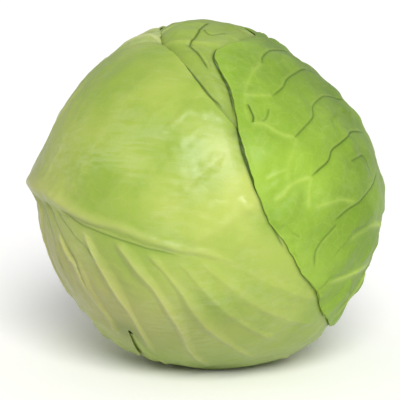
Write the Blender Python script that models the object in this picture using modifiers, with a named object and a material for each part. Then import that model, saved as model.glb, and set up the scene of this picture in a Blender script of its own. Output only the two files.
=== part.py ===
"""A green cabbage head, cut at the stem and lying on its side.

Metres, +Z up. The head's long axis is X: the cut stem points along -X and the crown along +X.
The origin is on the surface that the head rests on, under the middle of the head.

Places on the head are given as on a globe whose pole is the stem. `down` is the angle from the
stem pole, 0 at the stem and 180 at the crown. `round` is the angle about the X axis, 0 at the
front (-Y), 90 at the top, 180 at the back and 270 underneath. Both are in degrees.

Every leaf is a grid that is bent over the head. Its rows run along the side veins, from the
midrib to the margin, so that each rib and groove lies on a row of its own. Leaves are listed
from the outside in, and each one sinks a layer deeper where a leaf outside it covers it.
"""

import math

import bmesh
import bpy
import numpy as np
from mathutils import Matrix, Vector

# The head: an ellipsoid with swells, each a direction, a height and a spread in radians
HEAD_RADII = (0.0885, 0.0870, 0.0865)
CENTRE_HEIGHT = 0.0845
SWELLS = (
    ((0.66, 0.10, 0.74), -0.0078, 0.46),
    ((0.64, 0.06, -0.76), 0.0040, 0.30),
    ((0.88, 0.22, -0.43), -0.0042, 0.24),
    ((-1.00, 0.00, -0.10), -0.0064, 0.42),
    ((-0.82, -0.18, 0.55), -0.0030, 0.30),
    ((0.97, -0.20, -0.12), 0.0030, 0.34),
    ((0.10, 0.10, 1.00), 0.0016, 0.25),
    ((-0.62, -0.20, 0.75), -0.0014, 0.30),
    ((-0.66, -0.33, -0.67), -0.0030, 0.30),
    ((-0.37, -0.33, -0.87), 0.0030, 0.22),
)
LUMPS = 34
LUMP_HEIGHT = 0.0009
LUMP_SPREAD = 0.24
LUMP_SEED = 7

# Leaves
BLADE = 0.0012
LAYER = 0.0024
LEAF_BASE_DOWN = 12.2
MIDRIB_HALF_WIDTH = 0.0032
BASE_WIDENING = 0.0060
MOST_THICKNESS = 0.014
MARGIN_SAMPLES = 720
# How far outside a margin, in degrees, the leaf below starts to sink, and where it is down
SINK_FROM, SINK_TO = -11.0, -2.5
# How the side veins leave the midrib, spread along the margin and bow towards the tip
ROW_POWER = 1.35
MARGIN_POWER = 0.74
VEIN_BOW = 0.26
# A rib's half width as a share of the distance between ribs
RIB_SHARE = 0.14

# Heart and stump
HEART_GAP = 0.0013
HEART_SEGMENTS, HEART_RINGS = 36, 20
STUMP_RADIUS = 0.0152
STUMP_SEAT = 0.0745
STUMP_END = 0.0868
STUMP_STEPS = 28
GAP = 0.0003

# Each margin runs round its leaf from the base's far corner to its near one.
BACK_LEAF = dict(
    name="back_leaf",
    middle=(112, 150),
    midrib=((LEAF_BASE_DOWN, 137), (116, 162), (141, 306)),
    base_half=38,
    margin=(
        (24, 186), (45, 196), (75, 204), (100, 216), (118, 232), (130, 252), (137, 274), (140, 295),
        (142, 318), (138, 340), (133, 356), (127, 9), (121, 24), (116, 37), (108, 53), (103, 61),
        (103, 69), (106, 79), (103, 95), (92, 105), (70, 108), (44, 104), (25, 98),
    ),
    ribs=9,
    columns=11,
    midrib_height=0.0045,
    rib_height=-0.0008,
    puff=0.0019,
    rungs=0.0010,
    lips=(((118, 30), 0.0022, 9), ((103, 61), 0.0014, 8)),
)
FRONT_LEAF = dict(
    name="front_leaf",
    middle=(80, 358),
    midrib=((LEAF_BASE_DOWN, 12), (84, 359), (158, 318)),
    base_half=38,
    margin=(
        (24, 60), (40, 71), (54, 76), (64, 74), (73, 70), (84, 64), (93, 55), (104, 46), (116, 36),
        (130, 24), (144, 10), (155, 345), (158, 315), (150, 292), (134, 278), (116, 280), (102, 285),
        (92, 292), (86, 301), (82, 310), (79, 319), (78, 310), (76, 298), (68, 286), (48, 282),
        (30, 290), (19, 312),
    ),
    ribs=10,
    columns=10,
    midrib_height=0.0080,
    rib_height=0.0020,
    puff=0.0001,
    upper_side=0.3,
)
UNDER_LEAF = dict(
    name="under_leaf",
    middle=(88, 238),
    midrib=((LEAF_BASE_DOWN, 222), (84, 234), (160, 240)),
    base_half=38,
    margin=(
        (25, 270), (45, 296), (66, 312), (90, 318), (112, 314), (134, 304), (150, 285), (160, 245),
        (152, 205), (132, 184), (108, 172), (80, 164), (50, 164), (26, 174),
    ),
    ribs=8,
    columns=9,
    midrib_height=0.0045,
    rib_height=0.0016,
    puff=0.0002,
)
SHOULDER_LEAF = dict(
    name="shoulder_leaf",
    middle=(46, 88),
    midrib=((LEAF_BASE_DOWN, 88), (44, 90), (73, 100)),
    base_half=34,
    margin=(
        (24, 132), (45, 138), (62, 128), (71, 112), (72, 97), (76, 82), (83, 66), (85, 54), (78, 44),
        (64, 40), (44, 40), (24, 48),
    ),
    ribs=5,
    columns=7,
    midrib_height=0.0045,
    rib_height=0.0013,
    puff=0.0001,
)
LOW_LEAF = dict(
    name="low_leaf",
    middle=(52, 304),
    midrib=((LEAF_BASE_DOWN, 300), (50, 304), (94, 308)),
    base_half=40,
    margin=(
        (24, 346), (46, 352), (70, 346), (88, 330), (94, 306), (88, 282), (70, 266), (46, 260),
        (24, 262),
    ),
    ribs=4,
    columns=7,
    midrib_height=0.0045,
    rib_height=0.0012,
    puff=0.0001,
)
TOP_LEAF = dict(
    name="top_leaf",
    middle=(84, 78),
    midrib=((LEAF_BASE_DOWN, 40), (76, 66), (140, 92)),
    base_half=34,
    margin=(
        (26, 88), (50, 118), (80, 136), (112, 136), (134, 120), (143, 92), (138, 62), (126, 36),
        (104, 18), (78, 10), (50, 4), (27, 6),
    ),
    ribs=7,
    columns=8,
    midrib_height=0.0045,
    rib_height=0.0010,
    puff=0.0007,
)
LEAVES = (BACK_LEAF, FRONT_LEAF, UNDER_LEAF, SHOULDER_LEAF, LOW_LEAF, TOP_LEAF)

LEAF_COLOURS = {
    "back_leaf": (0.33, 0.48, 0.08),
    "front_leaf": (0.46, 0.55, 0.14),
    "under_leaf": (0.40, 0.50, 0.13),
    "shoulder_leaf": (0.47, 0.52, 0.20),
    "low_leaf": (0.47, 0.54, 0.22),
    "top_leaf": (0.38, 0.48, 0.11),
}
HEART_COLOUR = (0.62, 0.66, 0.32)
STEM_COLOUR = (0.68, 0.66, 0.42)
LEAF_ROUGHNESS = 0.42
STEM_ROUGHNESS = 0.6


class Leaf:
    """One wrapper leaf: its margin and midrib as places on the globe, and its relief in metres."""

    def __init__(
        self, name, middle, midrib, base_half, margin, ribs, columns, midrib_height, rib_height,
        puff, rungs=0.0, upper_side=1.0, lips=(),
    ):
        self.name, self.ribs, self.columns = name, ribs, columns
        self.midrib_height, self.rib_height = midrib_height, rib_height
        self.puff, self.rungs = puff, rungs
        self.upper_side, self.lips = upper_side, lips
        self.axes = plane_axes(*middle)
        self.midrib = self.to_plane(places(midrib))
        base_round = midrib[0][1]
        corners = [(LEAF_BASE_DOWN, base_round + side * base_half) for side in (-1, 1)]
        ring = [corners[1], *margin, corners[0], (LEAF_BASE_DOWN, base_round)]
        self.outline = smooth_ring(self.to_plane(places(ring)), MARGIN_SAMPLES)
        self.edge = self.from_plane(self.outline)
        self.corner_share = [nearest_share(self.outline, c) for c in self.to_plane(places(corners))]
        self.tip_share = nearest_share(self.outline, self.midrib[-1])
        self.midrib[-1] = self.outline[round(self.tip_share * MARGIN_SAMPLES)]

    def to_plane(self, directions):
        """Azimuthal equidistant map about the leaf's middle: x runs to the tip, y round the head."""
        middle, tipward, sideways = self.axes
        reach = np.arccos(np.clip(directions @ middle, -1, 1))
        bearing = np.arctan2(directions @ sideways, directions @ tipward)
        return np.stack([reach * np.cos(bearing), reach * np.sin(bearing)], -1)

    def from_plane(self, points):
        """The direction on the head of each point of the leaf's plane."""
        middle, tipward, sideways = self.axes
        reach = np.hypot(points[..., 0], points[..., 1])
        bearing = np.arctan2(points[..., 1], points[..., 0])
        side = np.cos(bearing)[..., None] * tipward + np.sin(bearing)[..., None] * sideways
        return np.cos(reach)[..., None] * middle + np.sin(reach)[..., None] * side

    def inside(self, directions):
        """Degrees from each direction to the margin, positive where the leaf covers it."""
        near = (directions @ self.edge.T).max(axis=-1)
        away = np.degrees(np.arccos(np.clip(near, -1, 1)))
        return np.where(in_polygon(self.to_plane(directions), self.outline), away, -away)

    def along_midrib(self, share):
        """The quadratic curve from the leaf's base through its midrib's middle to its tip."""
        start, half_way, end = self.midrib
        pull = 2 * half_way - (start + end) / 2
        share = np.asarray(share)[..., None]
        return (1 - share) ** 2 * start + 2 * share * (1 - share) * pull + share ** 2 * end

    def on_margin(self, share, side):
        """The margin's point that the side vein leaving the midrib at `share` runs to."""
        corner = self.corner_share[(side + 1) // 2]
        span = (self.tip_share - corner) % 1.0 if side > 0 else -((corner - self.tip_share) % 1.0)
        way = (corner + span * share ** MARGIN_POWER) % 1.0 * MARGIN_SAMPLES
        ring = np.vstack([self.outline, self.outline[:1]])
        index = np.arange(MARGIN_SAMPLES + 1)
        return np.stack([np.interp(way, index, ring[:, k]) for k in (0, 1)], -1)

    def bent(self, row, across):
        """A point of the plane: row 0 to 1 from base to tip, across -1 to 1 between the margins."""
        share = row ** ROW_POWER
        start = self.along_midrib(share)
        far = np.where(across[:, None] >= 0, self.on_margin(share, 1), self.on_margin(share, -1))
        step = 1e-3
        tangent = self.along_midrib(share + step) - self.along_midrib(share - step)
        tangent /= np.linalg.norm(tangent, axis=-1, keepdims=True)
        length = np.linalg.norm(far - start, axis=-1, keepdims=True)
        bow = VEIN_BOW * smoothstep(row, 0, 0.12)[:, None]
        pull = (start + far) / 2 + bow * length * tangent
        t = np.abs(across)[:, None]
        return (1 - t) ** 2 * start + 2 * t * (1 - t) * pull + t ** 2 * far

    def row_values(self):
        """Where the grid's rows lie and what each is: every rib has two shoulders and a crest."""
        pitch = 1 / (self.ribs + 1)
        rows, kinds = [0.0, 0.22 * pitch], ["base", "base"]
        steps = ((-0.5, "panel"), (-RIB_SHARE, "shoulder"), (0, "crest"), (RIB_SHARE, "shoulder"))
        for rib in range(1, self.ribs + 1):
            for offset, kind in steps:
                rows.append((rib + offset) * pitch)
                kinds.append(kind)
        return np.array([*rows, 1 - 0.45 * pitch, 1.0]), np.array([*kinds, "panel", "tip"])

    def across_values(self, along, column):
        """Column 0 is the midrib, 1 its shoulder at a fixed distance, and the rest reach the margin."""
        side = np.where(column < 0, -1.0, 1.0)
        reach = self.bent(along, side) - self.bent(along, np.zeros(len(along)))
        length = np.linalg.norm(reach, axis=1) * HEAD_RADII[1]
        half_width = MIDRIB_HALF_WIDTH + BASE_WIDENING * (1 - smoothstep(along, 0, 0.35))
        shoulder = np.clip(half_width / np.maximum(length, 1e-4), 0.02, 0.55)
        rest = (np.abs(column) - 1) / (self.columns - 1)
        return side * np.where(column == 0, 0.0, shoulder + (1 - shoulder) * rest)

    def relief(self, row, column):
        """How far each grid point stands out: midrib, side ribs, and panels puffed between them."""
        rows, kinds = self.row_values()
        along, kind = rows[row], kinds[row]
        out = np.abs(column) / self.columns
        rung = np.where(((row + 2) // 4 + np.abs(column)) % 2 == 0, self.rungs, 0.0)
        height = np.where(kind == "crest", self.rib_height * (1 - 0.65 * out), 0.0)
        height = np.where(kind == "panel", self.puff - rung, height)
        height = np.where(kind == "shoulder", self.puff * 0.6 - rung * 0.5, height)
        height = np.where(out == 1, 0.0, height)
        height *= np.where(column > 0, self.upper_side, 1.0) * (1 - smoothstep(along, 0.85, 1.0))
        midrib = self.midrib_height * (1 - smoothstep(along, 0.0, 0.95)) ** 1.3
        height = np.where(column == 0, np.maximum(midrib, 0.0004), height)
        shoulder = 0.45 * self.midrib_height * (1 - smoothstep(along, 0.0, 0.45))
        height = np.where(np.abs(column) == 1, np.maximum(shoulder, height * 0.5), height)
        collar = 0.35 * self.midrib_height * (1 - smoothstep(along, 0.0, 0.10)) * (1 - out ** 2)
        return np.maximum(height, collar)

    def curl(self, directions):
        """How far the margin curls out, from places with a height and a spread in degrees."""
        height = np.zeros(len(directions))
        for place, rise, spread in self.lips:
            angle = np.degrees(np.arccos(np.clip(directions @ places([place])[0], -1, 1)))
            to_margin = np.maximum(self.inside(directions), 0)
            height += rise * np.exp(-((angle / spread) ** 2)) * np.exp(-to_margin / 4.0)
        return height


def places(listed):
    """Unit directions from the head's centre of (down, round) pairs in degrees."""
    down, about = np.radians(np.array(listed, float)).T
    return np.stack([-np.cos(down), -np.sin(down) * np.cos(about), np.sin(down) * np.sin(about)], -1)


def plane_axes(down, about):
    """A place's direction, the direction of growing `down` there, and that of growing `round`."""
    middle = places([(down, about)])[0]
    tipward = places([(down + 90, about)])[0]
    return middle, tipward, np.cross(tipward, middle)


def smooth_ring(points, samples):
    """A closed Catmull-Rom curve through the points, sampled evenly along its length."""
    before, after, later = (np.roll(points, shift, axis=0) for shift in (1, -1, -2))
    t = np.linspace(0, 1, 40, endpoint=False)[:, None, None]
    curve = 0.5 * (
        2 * points
        + (after - before) * t
        + (2 * before - 5 * points + 4 * after - later) * t ** 2
        + (3 * points - before - 3 * after + later) * t ** 3
    )
    curve = curve.transpose(1, 0, 2).reshape(-1, 2)
    closed = np.vstack([curve, curve[:1]])
    length = np.concatenate([[0], np.cumsum(np.linalg.norm(np.diff(closed, axis=0), axis=1))])
    even = np.linspace(0, length[-1], samples, endpoint=False)
    return np.stack([np.interp(even, length, closed[:, k]) for k in (0, 1)], -1)


def nearest_share(ring, point):
    """How far round the ring, from 0 to 1, its point nearest this one is."""
    return int(np.argmin(np.linalg.norm(ring - point, axis=1))) / len(ring)


def in_polygon(points, ring):
    """Even-odd test of points against a closed ring in the plane."""
    within = np.zeros(len(points), bool)
    for (x0, y0), (x1, y1) in zip(ring, np.roll(ring, -1, axis=0)):
        if y0 == y1:
            continue
        crosses = (y0 > points[:, 1]) != (y1 > points[:, 1])
        within ^= crosses & (points[:, 0] < (x1 - x0) * (points[:, 1] - y0) / (y1 - y0) + x0)
    return within


def smoothstep(value, low, high):
    t = np.clip((value - low) / (high - low), 0, 1)
    return t * t * (3 - 2 * t)


def lumps():
    """Seeded low swells that keep the head from being a perfect ball."""
    draw = np.random.default_rng(LUMP_SEED)
    for _ in range(LUMPS):
        towards = draw.normal(size=3)
        yield towards, LUMP_HEIGHT * draw.uniform(-1, 1), LUMP_SPREAD * draw.uniform(0.8, 1.4)


def envelope(directions):
    """The head's outer radius, cut off flat where it rests."""
    radius = 1 / np.sqrt(((directions / HEAD_RADII) ** 2).sum(axis=-1))
    for towards, height, spread in (*SWELLS, *lumps()):
        towards = np.array(towards) / np.linalg.norm(towards)
        radius = radius + height * np.exp((directions @ towards - 1) / spread ** 2)
    return np.minimum(radius, CENTRE_HEIGHT / np.maximum(-directions[:, 2], 1e-6))


def sunk(outer_leaves, directions):
    """How many layers the leaves outside press a place down, and how far it is covered at all."""
    depth, covered = np.zeros(len(directions)), np.zeros(len(directions))
    for outer in outer_leaves:
        under = smoothstep(outer.inside(directions), SINK_FROM, SINK_TO)
        depth += under
        covered = np.maximum(covered, under)
    return depth, covered


def make_leaf(leaf, outer_leaves, collection, material):
    """The leaf's outer surface, split into triangles, and Solidify for its thickness."""
    rows, _ = leaf.row_values()
    bm = bmesh.new()
    bmesh.ops.create_grid(bm, x_segments=2 * leaf.columns, y_segments=len(rows) - 1, size=1)
    flat = np.array([vertex.co[:2] for vertex in bm.verts])
    column = np.round(flat[:, 0] * leaf.columns).astype(int)
    row = np.round((flat[:, 1] + 1) / 2 * (len(rows) - 1)).astype(int)
    along = rows[row]
    directions = leaf.from_plane(leaf.bent(along, leaf.across_values(along, column)))
    depth, covered = sunk(outer_leaves, directions)
    relief = leaf.relief(row, column) * (1 - covered)
    radius = envelope(directions) - depth * LAYER + relief + leaf.curl(directions)
    points = directions * radius[:, None]
    points[:, 2] = np.maximum(points[:, 2] + CENTRE_HEIGHT, 0)
    weight = bm.verts.layers.deform.verify()
    thickness = BLADE + np.maximum(relief, 0)
    for vertex, point, amount in zip(bm.verts, points, thickness / MOST_THICKNESS):
        vertex.co = point
        vertex[weight][0] = float(amount)
    bmesh.ops.remove_doubles(bm, verts=bm.verts, dist=1e-5)
    bmesh.ops.triangulate(bm, faces=bm.faces, quad_method="SHORT_EDGE")
    face_outwards(bm)
    obj = link(leaf.name, bm, collection, material)
    obj.vertex_groups.new(name="thickness")
    solidify = obj.modifiers.new("blade", "SOLIDIFY")
    solidify.thickness = MOST_THICKNESS
    solidify.offset = -1
    solidify.vertex_group = "thickness"


def face_outwards(bm):
    """Turns the faces of an open sheet so that they point away from the head's centre."""
    centre = Vector((0, 0, CENTRE_HEIGHT))
    total = sum((f.calc_center_median() - centre).dot(f.normal) * f.calc_area() for f in bm.faces)
    if total < 0:
        bmesh.ops.reverse_faces(bm, faces=bm.faces)


def make_heart(leaves, collection, material):
    """The packed inner leaves: a ball pressed in by every leaf round it, flat under the stump."""
    bm = bmesh.new()
    turn = Matrix.Rotation(math.radians(90), 4, "Y")
    bmesh.ops.create_uvsphere(
        bm, u_segments=HEART_SEGMENTS, v_segments=HEART_RINGS, radius=1, matrix=turn
    )
    directions = np.array([vertex.co.normalized() for vertex in bm.verts])
    depth, _ = sunk(leaves, directions)
    points = directions * (envelope(directions) - depth * LAYER - HEART_GAP)[:, None]
    points[:, 0] = np.maximum(points[:, 0], -STUMP_SEAT)
    points[:, 2] += CENTRE_HEIGHT
    for vertex, point in zip(bm.verts, points):
        vertex.co = point
    bmesh.ops.triangulate(bm, faces=bm.faces)
    link("heart", bm, collection, material)


def make_stem(collection, material):
    """The cut stump: a profile turned about X, with a slight waist and a rounded cut edge."""
    length = STUMP_END - STUMP_SEAT - GAP
    profile = (
        (0.0, length),
        (STUMP_RADIUS - 0.0022, length),
        (STUMP_RADIUS - 0.0008, length - 0.0008),
        (STUMP_RADIUS, length - 0.0028),
        (STUMP_RADIUS - 0.0006, length * 0.55),
        (STUMP_RADIUS + 0.0004, length * 0.25),
        (STUMP_RADIUS, 0.0),
        (0.0, 0.0),
    )
    bm = bmesh.new()
    ring = [bm.verts.new((radius, 0, along)) for radius, along in profile]
    for pair in zip(ring, ring[1:]):
        bm.edges.new(pair)
    obj = link("stem", bm, collection, material)
    obj.rotation_euler = (0, math.radians(-90), 0)
    obj.location = (-STUMP_SEAT - GAP, 0, CENTRE_HEIGHT)
    screw = obj.modifiers.new("turn", "SCREW")
    screw.steps = screw.render_steps = STUMP_STEPS
    screw.use_merge_vertices = True
    screw.merge_threshold = 0.0001


def new_material(name, colour, roughness):
    material = bpy.data.materials.new(name)
    material.use_nodes = True
    shader = material.node_tree.nodes["Principled BSDF"]
    shader.inputs["Base Color"].default_value = (*colour, 1)
    shader.inputs["Roughness"].default_value = roughness
    return material


def link(name, bm, collection, material):
    mesh = bpy.data.meshes.new(name)
    bm.to_mesh(mesh)
    bm.free()
    mesh.shade_smooth()
    mesh.materials.append(material)
    obj = bpy.data.objects.new(name, mesh)
    collection.objects.link(obj)
    return obj


def main():
    for obj in list(bpy.data.objects):
        bpy.data.objects.remove(obj)
    collection = bpy.data.collections.new("cabbage")
    bpy.context.scene.collection.children.link(collection)
    leaves = [Leaf(**sizes) for sizes in LEAVES]
    for order, leaf in enumerate(leaves):
        material = new_material(leaf.name, LEAF_COLOURS[leaf.name], LEAF_ROUGHNESS)
        make_leaf(leaf, leaves[:order], collection, material)
    make_heart(leaves, collection, new_material("heart", HEART_COLOUR, LEAF_ROUGHNESS))
    make_stem(collection, new_material("stem", STEM_COLOUR, STEM_ROUGHNESS))


main()
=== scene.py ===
"""The looks of a green cabbage head that lies on its side on a white table.

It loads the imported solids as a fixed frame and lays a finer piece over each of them: six wrapper
leaves, the heart inside them and the cut stump. Metres, +Z up. The cut stump points along -X.

Places on the head are given as on a globe whose pole is the stump. `down` is the angle from the
stump's pole, 0 at the stump and 180 at the crown. `round` is the angle about the X axis, 0 at the
front (-Y), 90 at the top, 180 at the back and 270 underneath. Both are in degrees.
"""

import math

import bpy
import numpy as np
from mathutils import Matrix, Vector


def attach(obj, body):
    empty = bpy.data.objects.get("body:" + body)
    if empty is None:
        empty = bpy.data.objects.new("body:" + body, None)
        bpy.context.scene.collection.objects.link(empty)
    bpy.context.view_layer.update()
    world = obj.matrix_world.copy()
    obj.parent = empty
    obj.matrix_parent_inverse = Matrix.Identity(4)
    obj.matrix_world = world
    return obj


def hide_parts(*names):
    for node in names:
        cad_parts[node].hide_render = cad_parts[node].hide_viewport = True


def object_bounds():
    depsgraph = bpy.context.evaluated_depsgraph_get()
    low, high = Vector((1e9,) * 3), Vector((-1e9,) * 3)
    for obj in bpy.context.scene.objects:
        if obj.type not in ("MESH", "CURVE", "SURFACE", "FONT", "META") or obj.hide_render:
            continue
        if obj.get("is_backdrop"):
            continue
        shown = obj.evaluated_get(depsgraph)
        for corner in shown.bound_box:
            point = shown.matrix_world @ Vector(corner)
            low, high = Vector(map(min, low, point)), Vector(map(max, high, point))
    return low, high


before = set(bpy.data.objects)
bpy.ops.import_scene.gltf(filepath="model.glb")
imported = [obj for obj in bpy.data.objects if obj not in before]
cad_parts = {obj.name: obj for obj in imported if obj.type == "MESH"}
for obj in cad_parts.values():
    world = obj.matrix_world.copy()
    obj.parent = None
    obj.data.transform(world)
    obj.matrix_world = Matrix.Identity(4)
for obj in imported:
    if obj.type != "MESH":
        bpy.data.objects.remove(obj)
PACKED_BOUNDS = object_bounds()

# The head, as in the part: an ellipsoid with swells, each a direction, a height and a spread
HEAD_RADII = np.array((0.0885, 0.0870, 0.0865))
CENTRE_HEIGHT = 0.0845
SWELLS = (
    ((0.66, 0.10, 0.74), -0.0078, 0.46),
    ((0.64, 0.06, -0.76), 0.0040, 0.30),
    ((0.88, 0.22, -0.43), -0.0042, 0.24),
    ((-1.00, 0.00, -0.10), -0.0064, 0.42),
    ((-0.82, -0.18, 0.55), -0.0030, 0.30),
    ((0.97, -0.20, -0.12), 0.0030, 0.34),
    ((0.10, 0.10, 1.00), 0.0016, 0.25),
    ((-0.62, -0.20, 0.75), -0.0014, 0.30),
    ((-0.66, -0.33, -0.67), -0.0030, 0.30),
    ((-0.37, -0.33, -0.87), 0.0030, 0.22),
)
LUMPS, LUMP_HEIGHT, LUMP_SPREAD, LUMP_SEED = 34, 0.0009, 0.24, 7
MM = 0.001
ROUND_HEAD = 87.0  # the head's mean radius, in millimetres

# Blades: how thick they are, how far a margin's rounded rim stands out, and how deep each blade
# sinks under a leaf that covers it, from so many degrees outside that leaf's margin to inside it
BLADE, MARGIN_BLADE = 0.9 * MM, 0.5 * MM
RIM = 0.32 * MARGIN_BLADE
LAYER = 1.2 * MM
SINK_FROM, SINK_TO = -5.0, 1.8
LEAF_BASE_DOWN = 12.2
MARGIN_SAMPLES = 840
MARGIN_WAVES = (11, 17, 26, 37, 53, 71, 97)
ROW_POWER = 1.35
MARGIN_POWER = 0.74
VEIN_BOW = 0.26

# Relief, in millimetres: the regular ribs fade out near the listed lines, the panels between
# them puff up inside their borders, and dents, pits and the margins' ruffle are ripples
DRAWN_NEAR, DRAWN_FAR = 9.0, 20.0
NET_HALF, PUFF_HALF = 1.1, 5.5
DENT_WAVE = 15
PIT_WAVE, PIT_RISE = 6, 0.07
SWELL_WAVE, SWELL_RISE = 42, 0.30
RUFFLE_WAVE, RUFFLE_RISE = 26, 0.28
LIP_REACH, RUFFLE_REACH = 3.0, 2.4  # degrees inwards from the margin
TINT_FULL, TINT_GONE = 1.5, 2.8

# Lines on a leaf: (height, half width, tint, places), the first two in millimetres. Below 0 the
# height is a crease's depth and the tint paints shade into the crease and a highlight along its
# lip; above 0 they are a rib's height and paleness.
FRONT_MIDRIB = (
    (12.2, 12), (21, 12), (30, 11), (40, 9.5), (49, 8), (62, 4), (73, 1), (82, 0), (92, -3),
    (102, -6), (111, -8), (125, -17), (140, -28), (150, -36), (158, -44),
)
FRONT_LINES = (
    (1.1, 1.5, 0.42, (
        (34, 6), (38, 3), (42, -3), (41, -17), (43, -24), (45, -33), (50, -42), (56, -50),
    )),
    (-1.0, 1.3, -0.26, ((42, 3), (46, 0), (49, -5), (51, -10), (53, -18), (56, -27), (60, -38))),
    (-1.0, 1.3, -0.28, (
        (47, 4), (51, 2), (54, -3), (57, -7), (60, -12), (63, -16), (66, -24), (70, -34),
    )),
    (-0.9, 1.4, -0.28, ((55, 2), (58, -1), (62, -4), (64, -6), (69, -9), (73, -14))),
    # A shallow groove along the midrib's lower side, with painted shade along it
    (-0.6, 1.8, -0.36, (
        (58, 3), (67, -1), (72, -2), (77, -3), (82, -4), (87, -5), (91, -6), (97, -7), (103, -9),
    )),
    (1.3, 2.2, 0.28, (
        (54, -4), (57, -10), (60, -15), (63, -18), (66, -25), (70, -33), (73, -40), (73, -52),
    )),
    (1.6, 2.4, 0.38, (
        (66, -2), (70, -6), (73, -12), (76, -17), (79, -23), (82, -31), (84, -42), (85, -54),
    )),
    (1.8, 2.7, 0.32, (
        (78, -3), (82, -6), (87, -12), (92, -19), (96, -29), (98, -38), (98, -52), (100, -68),
    )),
    (1.4, 2.6, 0.18, (
        (90, -6), (96, -13), (101, -21), (104, -29), (108, -40), (112, -52), (116, -68),
    )),
    (1.0, 2.7, 0.11, ((98, -8), (103, -13), (109, -22), (114, -31), (120, -44), (126, -62))),
    (0.8, 3.0, 0.08, ((106, -9), (114, -18), (122, -30), (130, -44), (138, -66))),
    (0.7, 3.0, 0.06, ((119, -14), (130, -25), (139, -39), (147, -58))),
    (0.9, 2.2, 0.34, ((18, 6), (23, -8), (31, -26), (42, -44), (52, -58))),
    (0.8, 2.2, 0.30, ((16, 2), (19, -16), (25, -40), (34, -60))),
    (0.7, 2.4, 0.26, ((18, 16), (26, 26), (37, 36), (50, 50), (58, 62))),
    (0.30, 2.8, 0.06, ((46, 10), (54, 28), (62, 46), (69, 62))),
    (0.30, 2.8, 0.06, ((60, 6), (70, 24), (79, 42), (86, 56))),
    (0.30, 3.0, 0.06, ((74, 3), (86, 19), (96, 34), (103, 44))),
    (0.40, 3.2, 0.08, ((88, 0), (100, 10), (110, 22), (118, 32))),
    (0.35, 2.8, 0.08, ((102, -5), (114, 1), (125, 10), (133, 19))),
    (0.35, 2.8, 0.08, ((116, -11), (128, -8), (140, -2), (147, 4))),
    # The next two lines are painted shadow: dark lines, with almost no depth, where back_leaf's
    # margin lies over this leaf
    (-0.10, 0.9, -1.9, (
        (111, 46), (115.5, 37.5), (118.5, 29), (121, 23.5), (124, 16.5), (126, 11),
    )),
    (-0.10, 0.9, -0.5, ((124, 16.5), (127.5, 7), (131, -1), (134, -10))),
)
BACK_LINES = (
    (-0.42, 0.85, -0.42, (
        (115, 70), (116, 72), (115, 76), (115, 84), (116, 98), (116, 112), (114, 124),
    )),
    (-0.42, 0.85, -0.42, (
        (123, 54), (124, 56), (126, 64), (126, 72), (127, 86), (127, 101), (127, 118),
    )),
    (-0.42, 0.85, -0.38, (
        (133, 37), (137, 48), (139, 58), (138, 67), (139, 83), (140, 93), (141, 106), (140, 124),
    )),
    (-0.50, 0.95, -0.52, (
        (141, 23), (144, 28), (148, 37), (149, 46), (152, 58), (154, 80), (155, 96), (154, 120),
    )),
    (-0.42, 0.85, -0.42, (
        (151, 0), (153, 2), (157, 7), (162, 13), (168, 32), (171, 78), (168, 116),
    )),
    (-0.45, 0.70, -0.60, ((117, 47), (119, 44), (120, 42), (120, 39))),
    (-0.25, 0.80, -0.30, ((124, 49), (124, 44), (122, 40))),
    (-0.25, 0.80, -0.35, ((157, 48), (162, 74), (165, 73), (170, 70))),
    (0.22, 1.6, 0.26, ((116, 72), (115, 63), (115, 56), (115, 50))),
    (0.22, 1.6, 0.26, ((124, 56), (120, 53), (117, 51), (114, 50))),
    (0.32, 1.5, 0.36, ((119, 40), (124, 41), (128, 40), (132, 40), (136, 42))),
    (0.40, 1.4, 0.42, ((130, 11), (133, 14), (135, 18), (138, 21), (143, 25))),
    (0.24, 1.4, 0.30, ((142, 25), (142, 16), (142, 7))),
    (0.22, 1.4, 0.28, ((144, 9), (151, 13), (156, 15), (163, 13))),
    (0.20, 1.7, 0.20, ((135, 43), (135, 34), (134, 27), (134, 18))),
    (0.20, 1.7, 0.20, ((115, 52), (117, 44), (120, 39))),
    (-0.25, 0.9, -0.32, ((153, -1), (147, -9), (144, -15), (143, -24))),
    (0.40, 1.0, 0.30, ((127, 19), (131, 23), (135, 26))),
)
TOP_LINES = (
    (-0.45, 0.85, -0.60, ((92, 65), (92, 75), (91, 82), (91, 91))),
    (-0.40, 0.80, -0.55, ((91, 68), (97, 62), (102, 56))),
    (-0.25, 0.90, -0.35, ((92, 80), (96, 77), (100, 83))),
    (0.25, 1.4, 0.20, ((86, 60), (92, 52), (98, 48))),
    # The next two lines are painted shadow: dark lines, with almost no depth, along back_leaf's and
    # front_leaf's margins over this leaf
    (-0.10, 0.9, -0.9, (
        (100.5, 70), (101.5, 63), (105.5, 57), (110, 50.5), (112.5, 45), (114, 41),
    )),
    (-0.10, 0.9, -0.6, ((88, 62), (95, 55.5), (104.5, 46.3), (108, 43.8), (111, 41.3))),
)
# Blisters: (place, rise, half length and half width in millimetres, turn in degrees)
FRONT_BLISTERS = (
    ((122.5, 9), 1.0, 5.4, 3.6, 12),
    ((112, 22), 0.22, 8.0, 4.4, 20),
    ((104, 14), 0.20, 8.0, 4.6, 75),
    ((98, 26), 0.20, 7.0, 4.0, 55),
    ((124, 356), 0.30, 7.0, 4.0, 10),
    ((90, 38), 0.20, 9.0, 5.0, 60),
)
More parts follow.
